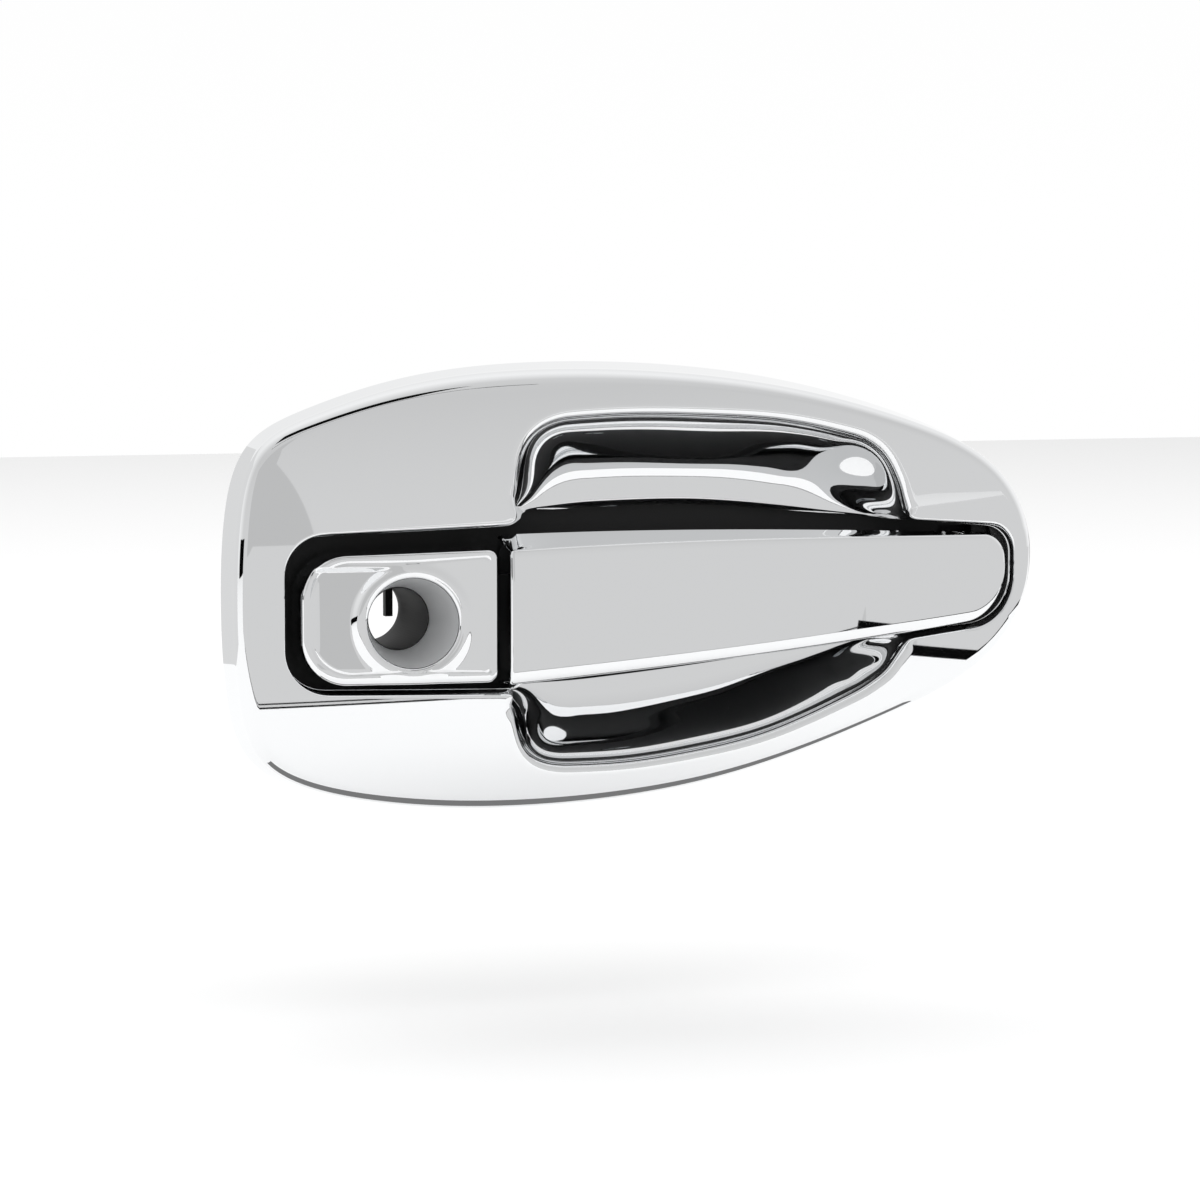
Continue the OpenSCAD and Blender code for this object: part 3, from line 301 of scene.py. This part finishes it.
leverShape = {
    "out": 33, "crownFromEnd": 131, "freeOut": 29.7, "tipOut": 11.5, "up": 20.6, "down": 18.4, "tipDown": 4,
    "side": 14, "tipSide": 5, "gap": 3.5, "tipGap": 3, "wall": 2, "belly": 2, "edgeRadius": 0.9,
    "bevel": 2.4, "bevelDrop": 1.8, "flareUp": 3.6, "flareDown": 0.8, "camber": 0.5,
    "tipUpRadius": 8, "tipLowRadius": 14, "stations": 260,
}
s, pl, lv = surroundShape, plateShape, leverShape
slotEnd = -pl["left"] - pl["gap"]
slotTip = tipX - s["slotToTip"]
stepX = pl["right"] + lv["gap"] + 4.6
bowlTip = tipX - s["bandTip"]
rimHigh, rimLow = highZ - s["bandTop"], lowZ + s["bandBottom"]
crownX = endX + s["crownFromEnd"]
faceTerms = crownTerms(endX + s["bluntIn"] - crownX, s["crownOut"] - s["bluntOut"],
                       tipX - s["tipIn"] - crownX, s["crownOut"] - s["tipOut"])


def face(p):
    # Crown height, less a cubic fall to the ends, less a fourth-power roll-off from a rising ridge
    ridge = mix(s["ridgeBlunt"], s["ridgeTip"], (p[..., 0] - endX) / surroundLen)
    return (s["crownOut"] - crownDrop(faceTerms, p[..., 0] - crownX)
            - s["edgeDrop"] * ((p[..., 1] - ridge) / (surroundH / 2 - 2)) ** 4)


def slotTop(x):
    high = mix(stepX, bowlTip, 0.3)
    return mix(lv["up"] + 11, lv["up"] + 4.6, np.clip((x - high) / (bowlTip - high), 0, 1))


def slotLow(x):
    return -mix(lv["down"] + 2.4, lv["tipDown"] + 1.4, (x - stepX) / (slotTip - stepX))


def bowlCorner(corner, up):
    x = mix(stepX, bowlTip, corner[0])
    edge, rim = (slotTop(x), rimHigh) if up else (slotLow(x), rimLow)
    return [x, mix(edge, rim, corner[1]), corner[2]]


slotCorners = [
    [slotEnd, pl["up"] + 4.2, pl["corner"] - 2], [slotEnd, -pl["down"] - 2, pl["corner"] - 1],
    [stepX, slotLow(stepX), 60], [slotTip, slotLow(slotTip), 16], [slotTip, lv["up"] + 1.8, 8],
    [mix(stepX, bowlTip, 0.47), lv["up"] + 11, 120], [stepX + 10, lv["up"] + 10, 12], [stepX - 1, lv["up"] + 6.2, 10],
]
lip = s["lipRadius"]
openingCorners = (
    [[slotEnd - lip, pl["up"] + 4.2 + lip, pl["corner"] - 2 + lip],
     [slotEnd - lip, -pl["down"] - 2 - lip, pl["corner"] - 1 + lip], [stepX, slotLow(stepX) - lip, 3]]
    + [bowlCorner(c, False) for c in s["bowlDown"]]
    + [[bowlTip, slotLow(bowlTip) - lip, 3], [slotTip + lip, slotLow(slotTip) - lip, 16 + lip],
       [slotTip + lip, lv["up"] + 1.8 + lip, 8 + lip], [bowlTip, slotTop(bowlTip) + lip, 3]]
    + [bowlCorner(c, True) for c in s["bowlUp"]]
    + [[stepX, lv["up"] + 6.2 + lip, 3]]
)
bowlMid = np.array([mix(stepX, bowlTip, 0.34), middleZ - 2])


def surroundRings():
    # One column per opening point, joined to the outline and the slot by a ray from the bowl's middle.
    # Each ring is one height of the section: skirt, shoulder, face, rim, scoop, and back inside.
    outline = splineLoop(s["outline"], 40)[::-1]
    outline = np.array([endX, lowZ]) + ((outline - outline.min(axis=0)) / np.ptp(outline, axis=0)
                                        * np.array([surroundLen, surroundH]))
    crisp = softened(evenLoop(cornerLoop(openingCorners), s["columns"]), s["softening"])
    middle = smoothStep((crisp[:, :1] - stepX - 14) / 14) * smoothStep((bowlTip - 14 - crisp[:, :1]) / 14)
    soft = mix(softened(crisp, s["cornerSoftening"]), softened(crisp, s["longSoftening"]), middle)
    slot = evenLoop(cornerLoop(slotCorners), s["columns"])
    slot = mix(softened(slot, s["softening"]), softened(slot, s["longSoftening"]),
               smoothStep((slot[:, :1] - stepX - 6) / 20) * smoothStep((bowlTip - slot[:, :1]) / 20))
    inBowl = (smoothStep((crisp[:, :1] - stepX + 2) / 2) * smoothStep((bowlTip + 6 - crisp[:, :1]) / 6)
              * smoothStep((np.abs(crisp[:, 1:] - mix(slotTop(crisp[:, :1]), slotLow(crisp[:, :1]), 0.5)) - 24) / 8))
    opening = mix(crisp, soft, inBowl)
    normal = outward(opening)
    aim = opening - bowlMid
    aim /= np.linalg.norm(aim, axis=1, keepdims=True)
    edge, edgeNormal = rayHit(outline, bowlMid, aim)
    foot = rayHit(slot, bowlMid, aim)[0]
    bowlShare = smoothStep((((opening - foot) * normal).sum(axis=1) - lip) / 8)
    rim = mix(lip, s["rimRadius"], bowlShare)
    band = np.linalg.norm(edge - opening, axis=1)
    shoulder = np.minimum(s["shoulderRadius"], 0.45 * (band - rim))
    flank = np.tan(np.radians(s["flankDraft"])) * np.maximum(face(edge) - shoulder - s["skirtGap"], 1)
    wall = s["wall"]

    rings = [at(edge, s["skirtGap"])]
    rings += [at(edge - edgeNormal * (flank * t)[:, None],
                 mix(s["skirtGap"], face(edge - edgeNormal * flank[:, None]) - shoulder, t))
              for t in np.linspace(0.12, 0.9, 7)]
    for f in arc(90, 15):
        p = edge - edgeNormal * (flank + shoulder * (1 - np.cos(f)))[:, None]
        rings.append(at(p, face(p) - shoulder * (1 - np.sin(f))))
    start = edge - edgeNormal * (flank + shoulder)[:, None]
    stop = opening + normal * rim[:, None]
    rings += [at(mix(start, stop, t), face(mix(start, stop, t))) for t in np.linspace(0, 1, 34)[1:-1]]
    for f in arc(90, 15):
        p = opening + normal * (rim * (1 - np.sin(f)))[:, None]
        rings.append(at(p, face(p) - rim * (1 - np.cos(f))))
    top = face(opening) - rim
    low = mix(np.maximum(top - s["lipDepth"], np.minimum(s["floorOut"] + 2.8, top - 1)), s["floorOut"], bowlShare)
    run = np.linalg.norm(opening - foot, axis=1)
    # Scoop: its depth share is w / (1 + w^n)^(1/n) with w a power of the share run across,
    # steep at first, then nearly flat, and tucked in by a quarter circle at the slot;
    # the plain slot lip is a quarter ellipse
    t = np.linspace(0, 1, 44)[:, None]
    w = s["scoopRise"] * t ** (2 * s["scoopPower"])
    scoop = w / (1 + w ** s["scoopTurn"]) ** (1 / s["scoopTurn"])
    tuck = 1 - np.sqrt(1 - np.clip((t**2 - s["tuckFrom"]) / (1 - s["tuckFrom"]), 0, 1) ** 2)
    scoop = mix(scoop / scoop[-1], tuck, s["tuckShare"])
    depth = mix(np.sqrt(t**2 * (2 - t**2)), scoop, bowlShare)
    side = run * np.gradient(t[:, 0] ** 2)[:, None]
    fall = (top - low) * np.gradient(depth, axis=0)
    q = np.hypot(side, fall)
    for k in range(1, len(t)):
        rings.append(at(mix(opening, foot, t[k, 0] ** 2), mix(top, low, depth[k])))
    for k in range(len(t) - 1, -1, -3):
        p = mix(opening, foot, t[k, 0] ** 2) + normal * (wall * fall[k] / q[k])[:, None]
        rings.append(at(p, mix(top, low, depth[k]) - wall * side[k] / q[k]))
    inner = opening + normal * np.maximum(rim, wall + 0.3)[:, None]
    rings += [at(mix(start, inner, t), face(mix(start, inner, t)) - wall) for t in np.linspace(1, 0, 10)]
    p = edge - edgeNormal * (flank + wall)[:, None]
    rings.append(at(p, face(p) - np.maximum(shoulder, wall + 0.4)))
    rings.append(at(edge - edgeNormal * wall, s["skirtGap"]))
    return np.array(rings)


rings = surroundRings()
verts = ringSkin(rings)
faces = gridFaces(len(rings), s["columns"], True, True)
surround = meshPiece("surround_chrome", verts, faces.tolist(), "base", 40)
print("surround", len(verts), "points")

# ---------- lever ----------

leverX0, leverX1 = stepX - 4.6, slotTip - lv["tipGap"]
leverCrownX = endX + lv["crownFromEnd"]
leverTerms = crownTerms(leverX0 - leverCrownX, lv["out"] - lv["freeOut"],
                        leverX1 - leverCrownX, lv["out"] - lv["tipOut"])


def strap(x):
    return lv["out"] - crownDrop(leverTerms, x - leverCrownX)


def along(x):
    return np.clip((x - leverX0) / (leverX1 - leverX0), 0, 1)


def cornerCut(distance, radius):
    # How far a rounded corner of this radius has drawn in at a distance from the end
    d = np.minimum(distance, radius)
    return radius - np.sqrt(np.maximum(0, radius**2 - (radius - d) ** 2))


def leverSections():
    # Stations along X, closer at both ends. Each section runs round the outside and back inside.
    n = lv["stations"]
    t = np.linspace(0, 1, n)
    x = leverX0 + (leverX1 - leverX0 - 0.02) * (t - 0.07 * np.sin(2 * np.pi * t) * 1.9) + 0.01
    wallAt = leverX0 + lv["wall"]
    hollowEnd = leverX1 - 6
    x = np.sort(np.concatenate([x, leverX0 + np.linspace(0, 1.2, 12) ** 1.5, [wallAt - 0.01, wallAt],
                                [hollowEnd, hollowEnd + 0.01]]))
    cut = cornerCut(np.minimum(x - leverX0, leverX1 - x), 1.2)
    h = strap(x) - cut
    top = (lv["up"] + lv["belly"] * np.sin(np.pi * along(x) ** 0.85) - cut
           - cornerCut(leverX1 - x, lv["tipUpRadius"]))
    low = -mix(lv["down"], lv["tipDown"], along(x)) + cut + cornerCut(leverX1 - x, lv["tipLowRadius"])
    back = strap(x) - mix(lv["side"], lv["tipSide"], along(x))
    up, down = mix(lv["flareUp"], 0.3, along(x)), mix(lv["flareDown"], 0.2, along(x))
    mid, half = (top + low) / 2, (top - low) / 2
    camber, r, bevel, drop = lv["camber"], lv["edgeRadius"], lv["bevel"], lv["bevelDrop"]
    rows = []
    for k in np.linspace(0, 1, 9)[:-1]:      # lower side, from its back edge
        rows.append((low - down * (1 - k) ** 1.2, mix(back, h - camber - drop, k)))
    for f in arc(75, 9):                      # lower bevel
        rows.append((low + bevel * (1 - np.cos(f)), h - camber - drop * (1 - np.sin(f))))
    for k in np.linspace(0, 1, 25):           # cambered face
        z = mix(low + bevel, top - r, k)
        rows.append((z, h - camber * ((z - mid) / half) ** 2))
    for f in arc(90, 8)[1:]:                  # upper edge
        rows.append((top - r * (1 - np.sin(f)), h - camber - r * (1 - np.cos(f))))
    for k in np.linspace(0, 1, 9)[1:]:        # upper side
        rows.append((top + up * k**1.2, mix(h - camber - r, back, k)))
    hollow = ((x >= wallAt) & (x <= hollowEnd))
    inFront = np.where(hollow, strap(x) - camber - drop / 2 - lv["wall"], back)
    inLow = np.minimum(low + lv["wall"] + 0.4, mid)
    inTop = np.maximum(top - lv["wall"], mid)
    rows += [(inTop, back), (inTop, inFront), (inLow, inFront), (inLow, back)]
    z = np.array([np.broadcast_to(q[0], x.shape) for q in rows])
    out = np.array([np.broadcast_to(q[1], x.shape) for q in rows])
    return np.stack([np.broadcast_to(x, z.shape), -out, z], axis=-1).transpose(1, 0, 2)


sections = leverSections()
stationCount, loopCount = sections.shape[:2]
faces = gridFaces(stationCount, loopCount, False, True)
capStart = np.arange(loopCount)[::-1]
capEnd = (stationCount - 1) * loopCount + np.arange(loopCount)
faces = faces.tolist() + [capStart.tolist(), capEnd.tolist()]
lever = meshPiece("lever_chrome", sections.reshape(-1, 3), faces, "lever", 28)
print("lever", stationCount * loopCount, "points")

# ---------- lock plate ----------


def plateFace(p):
    # The strap's height, a low bell-shaped ring round the mouth, and a dished thumb rest beside it
    x, z = p[..., 0], p[..., 1]
    r = np.hypot(x, z)
    ring = pl["ringHeight"] * np.exp(-(((r - pl["mouthRadius"] - 2) / pl["ringWidth"]) ** 2))
    dish = (pl["dishDepth"] * 1.8 * np.clip((z + 13) / 28, 0, 1) * smoothStep((r - pl["mouthRadius"] - 3) / 2.2)
            * smoothStep((pl["up"] - 3.6 - z) / 1.6) * smoothStep((x + pl["left"] - 1.2) / 4)
            * smoothStep((-x - 5) / 5))
    return strap(x) - pl["setBack"] + ring - dish


def plateRings():
    # Columns run out from the lock axis; rings go up the mouth, over the face, down the side and back
    corners = [[-pl["left"], pl["up"] - 0.7, pl["corner"]], [-pl["left"], -pl["down"] - 0.2, pl["corner"]],
               [pl["right"], -pl["down"] + 0.2, pl["square"]], [pl["right"], pl["up"] + 0.9, pl["square"]]]
    edge = softened(evenLoop(cornerLoop(corners), pl["columns"]), 0.35)
    n = outward(edge)
    aim = edge / np.linalg.norm(edge, axis=1, keepdims=True)
    wall = lv["wall"]
    edgeIn = mix(lv["edgeRadius"], lv["bevel"], np.clip(-n[:, 1], 0, 1))

    rings = []
    foot, mouth, mouthLip = pl["boreRadius"] + 0.3, pl["mouthRadius"], pl["mouthLip"]
    lipOut = plateFace(aim * (mouth + mouthLip)) - mouthLip
    for k in np.linspace(0, 1, pl["mouthRings"] + 1)[:-1]:
        rings.append(at(aim * mix(foot, mouth, k), mix(pl["mouthIn"], lipOut, k)))
    for f in arc(90, 10):
        rings.append(at(aim * (mouth + mouthLip * (1 - np.cos(f))), lipOut + mouthLip * np.sin(f)))
    faceEdge = edge - n * edgeIn[:, None]
    for k in np.linspace(0, 1, 110)[1:]:      # the face, with a bell-shaped groove along its border
        p = mix(aim * (mouth + mouthLip), faceEdge, k)
        inset = np.linalg.norm(faceEdge - p, axis=1)
        groove = pl["borderDepth"] * np.exp(-(((inset - pl["borderInset"]) / pl["borderWidth"]) ** 2))
        rings.append(at(p, plateFace(p) - groove))
    rim = plateFace(faceEdge)
    for f in arc(90, 9)[1:]:
        rings.append(at(edge - n * (edgeIn * (1 - np.sin(f)))[:, None],
                        rim - np.minimum(edgeIn, lv["bevelDrop"]) * (1 - np.cos(f))))
    rings.append(at(edge, pl["backOut"]))
    rings.append(at(edge - n * wall, pl["backOut"]))
    under = strap(edge[:, 0]) - pl["setBack"] - pl["dishDepth"] * 1.5 - wall * 0.7
    rings += [at(mix(aim * (mouth + wall), edge - n * wall, k), under) for k in (1, 0.5, 0)]
    rings.append(at(aim * (foot + 1.6), pl["mouthIn"]))
    return np.array(rings)


rings = plateRings()
faces = gridFaces(len(rings), pl["columns"], True, True)[:, ::-1]
lockPlate = meshPiece("plate_chrome", ringSkin(rings), faces.tolist(), "base", 40)
lockPlate.data.materials.append(mouthChrome)
wallFaces = pl["mouthRings"] * pl["columns"]
lockPlate.data.polygons.foreach_set(
    "material_index", (np.arange(len(lockPlate.data.polygons)) < wallFaces).astype(np.int32))
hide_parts("surround")
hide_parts("lever_shell")
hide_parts("lock_plate")
print("plate", len(rings) * pl["columns"], "points")

# ---------- stage, light and camera ----------

studio = {
    "floorDrop": 60, "azimuth": -18, "elevation": 5, "distance": 1300, "widthSeen": 352.94,
    "target": (60.4, -12.0, 4.1), "front": "#DADADA", "back": "#FFFFFF",
    "roof": [(0.0, "#FFFFFF"), (0.94, "#0A0A0A"), (0.6, "#F4F4F4")],
    "overheadPower": 36, "overheadSize": 4000, "overheadHeight": 2000,
}


def card(name, centre, size, normal, colour, glowing=True, roll=0):
    # Flat rectangle facing along normal; a glowing one keeps its colour whatever the light
    turn = Vector(normal).to_track_quat("Z", "Y").to_matrix() @ Matrix.Rotation(np.radians(roll), 3, "Z")
    w, h = size
    corners = [turn @ Vector((a * w / 2, b * h / 2, 0)) + Vector(centre)
               for a, b in ((-1, -1), (1, -1), (1, 1), (-1, 1))]
    mesh = bpy.data.meshes.new(name)
    mesh.from_pydata([c * mm for c in corners], [], [(0, 1, 2, 3)])
    obj = bpy.data.objects.new(name, mesh)
    bpy.context.scene.collection.objects.link(obj)
    material, shader = newMaterial(name)
    setSockets(shader, {"Base Color": srgb("#000000" if glowing else colour), "Roughness": 0.9,
                        "Specular IOR Level": 0.0})
    if glowing:
        setSockets(shader, {"Emission Color": srgb(colour), "Emission Strength": 1.0})
    mesh.materials.append(material)
    return obj


def onlyInChrome(obj):
    obj.visible_camera = False
    obj.visible_diffuse = False
    obj.visible_shadow = False


def mirrorCard(name, azimuth, elevation, size, colour, roll=0, distance=700):
    # Card seen only in the chrome, standing off the object's middle in a given direction
    a, e = np.radians(azimuth), np.radians(elevation)
    away = Vector((np.sin(a) * np.cos(e), -np.cos(a) * np.cos(e), np.sin(e)))
    onlyInChrome(card(name, away * distance + Vector((60, 0, 0)), size, -away, colour, roll=roll))


def studioWorld():
    # A white tent: its wall behind is white, its front a little greyer, its roof dark at the top
    world = bpy.data.worlds.new("tent")
    bpy.context.scene.world = world
    world.use_nodes = True
    background = world.node_tree.nodes["Background"]
    place = addNode(world, "ShaderNodeTexCoord")
    axes = addNode(world, "ShaderNodeSeparateXYZ", links={"Vector": place.outputs["Generated"]})
    roof = addNode(world, "ShaderNodeValToRGB", links={"Fac": axes.outputs["Z"]})
    ramp = roof.color_ramp
    for element, (position, colour) in zip([ramp.elements[0], ramp.elements[1], ramp.elements.new(0.5)],
                                           studio["roof"]):
        element.position = position
        element.color = srgb(colour)
    front = addNode(world, "ShaderNodeMapRange", {"From Min": -0.3, "From Max": 0.3},
                    {"Value": axes.outputs["Y"]})
    tone = addNode(world, "ShaderNodeMix", {"data_type": "RGBA"})
    sockets = [i for i in tone.inputs if i.type == "RGBA"]
    sockets[0].default_value = srgb(studio["front"])
    sockets[1].default_value = srgb(studio["back"])
    world.node_tree.links.new(front.outputs["Result"], tone.inputs["Factor"])
    both = addNode(world, "ShaderNodeMix", {"data_type": "RGBA", "blend_type": "MULTIPLY"})
    both.inputs["Factor"].default_value = 1
    sockets = [i for i in both.inputs if i.type == "RGBA"]
    world.node_tree.links.new([o for o in tone.outputs if o.type == "RGBA"][0], sockets[0])
    world.node_tree.links.new(roof.outputs["Color"], sockets[1])
    world.node_tree.links.new([o for o in both.outputs if o.type == "RGBA"][0], background.inputs["Color"])


studioWorld()
floorZ = lowZ - studio["floorDrop"]
card("pale_floor", (0, 0, floorZ), (6000, 6000), (0, 0, 1), "#F8F8F8", glowing=False)

overheadData = bpy.data.lights.new("overhead_softbox", "AREA")
overheadData.size = studio["overheadSize"] * mm
overheadData.energy = studio["overheadPower"]
overhead = bpy.data.objects.new("overhead_softbox", overheadData)
overhead.location = (0, 0, studio["overheadHeight"] * mm)
overhead.visible_glossy = False
bpy.context.scene.collection.objects.link(overhead)

# The tent's mouth: a grey wall past the floor's front edge, over two dark seams
standing = [
    ("wall_front", (400, -480, floorZ + 58), (2600, 116), (0, 1, 0), studio["front"]),
    ("wall_right", (575, -200, floorZ + 58), (560, 116), (-1, 0, 0), studio["front"]),
    ("wall_behind", (60, 700, floorZ + 60), (2400, 150), (0, -1, 0), "#C4C4C4"),
    ("wall_behind_left", (-560, 420, floorZ + 300), (700, 600), (1, -1, 0), "#E2E2E2"),
    ("shade_below", (80, 0, floorZ + 0.5), (330, 56), (0, 0, 1), "#7E7E7E"),
    ("seam_front_low", (60, -470, floorZ + 1.6), (1500, 3.2), (0, 1, 0), "#060606"),
    ("seam_front_high", (60, -470, floorZ + 8), (1500, 2.4), (0, 1, 0), "#202020"),
    ("seam_right", (560, -200, floorZ + 9), (560, 18), (-1, 0, 0), "#0A0A0A"),
    ("opening_left", (-520, -150, floorZ + 130), (260, 50), (1, 0, 0), "#050505"),
]
for name, centre, size, normal, colour in standing:
    onlyInChrome(card(name, centre, size, normal, colour))
mirrorCard("panel_left", -28, 12, (430, 540), "#C6C6C6", roll=-17)
mirrorCard("panel_right", 55, -10, (760, 160), "#CCCCCC", roll=2)
mirrorCard("roof_opening", -32, 62, (420, 150), "#0C0C0C")
mirrorCard("roof_seam", -20, 50, (560, 14), "#0C0C0C")

az, el = np.radians(studio["azimuth"]), np.radians(studio["elevation"])
backward = Vector((np.sin(az) * np.cos(el), -np.cos(az) * np.cos(el), np.sin(el)))
cameraData = bpy.data.cameras.new("camera")
cameraData.sensor_width = 36
cameraData.lens = 36 * studio["distance"] / studio["widthSeen"]
cameraData.clip_start = 0.05
camera = bpy.data.objects.new("camera", cameraData)
camera.location = (Vector(studio["target"]) + backward * studio["distance"]) * mm
camera.rotation_euler = backward.to_track_quat("Z", "Y").to_euler()
bpy.context.scene.collection.objects.link(camera)
bpy.context.scene.camera = camera
bpy.context.scene.view_settings.view_transform = "Standard"
print("stage set")
